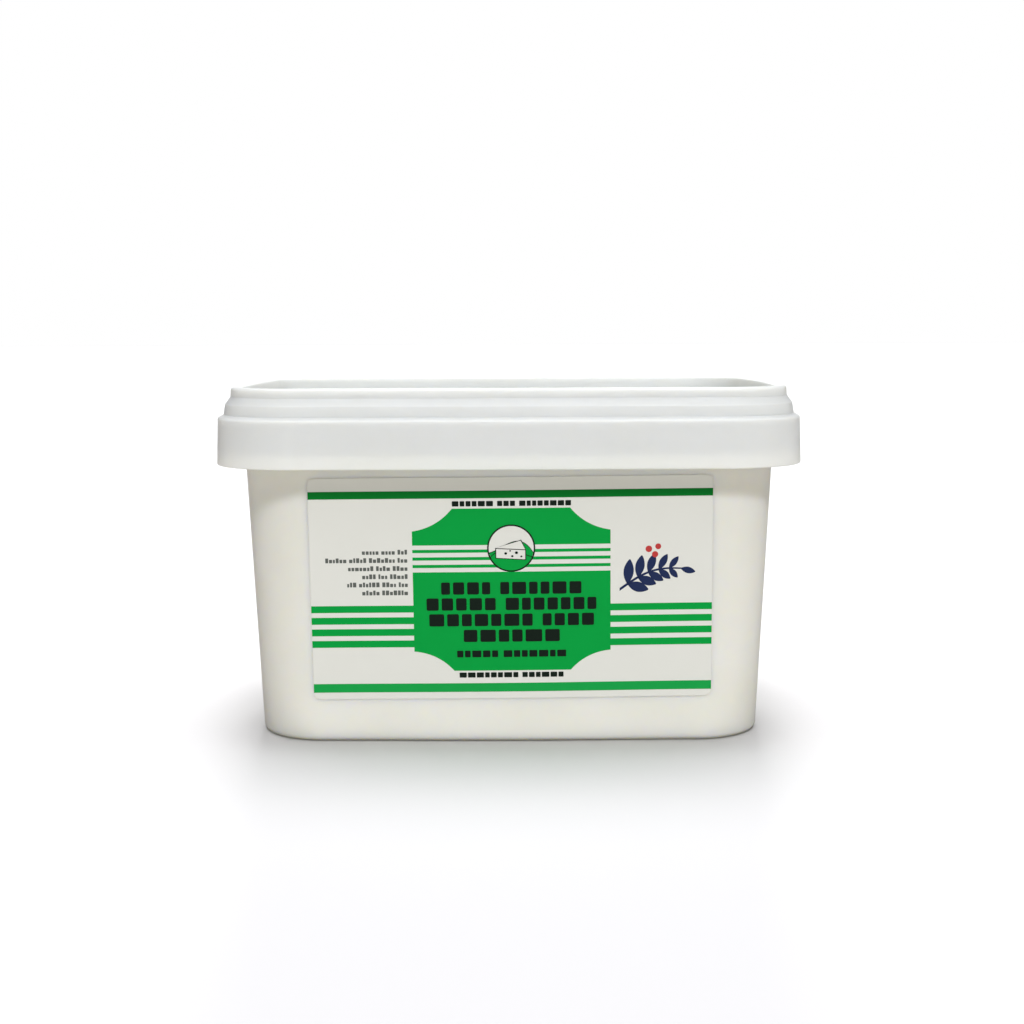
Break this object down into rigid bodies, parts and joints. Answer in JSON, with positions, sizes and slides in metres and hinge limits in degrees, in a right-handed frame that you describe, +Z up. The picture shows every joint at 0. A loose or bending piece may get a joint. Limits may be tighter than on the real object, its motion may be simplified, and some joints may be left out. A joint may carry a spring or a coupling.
{
  "type": "lidded tub of sheep milk cheese",
  "caption": "Shut rectangular plastic tub of brined sheep milk cheese with a stepped press-on lid and a green striped label on its front.",
  "frame": {"origin": "centre of the base, level with the surface that the tub stands on", "axes": "+X along the tub's long side, +Z up, and the label faces -Y"},
  "size_m": [0.1736, 0.1156, 0.1033],
  "materials": {
    "tub": "satin moulded plastic, slightly see-through, warm white",
    "lid": "smooth moulded plastic, cool white, soft gloss",
    "label": "satin paper sticker printed with green bars and a green field"
  },
  "bodies": {
    "root": {"tub": "tub", "lid": "lid", "label": "label"}
  },
  "joints": []
}
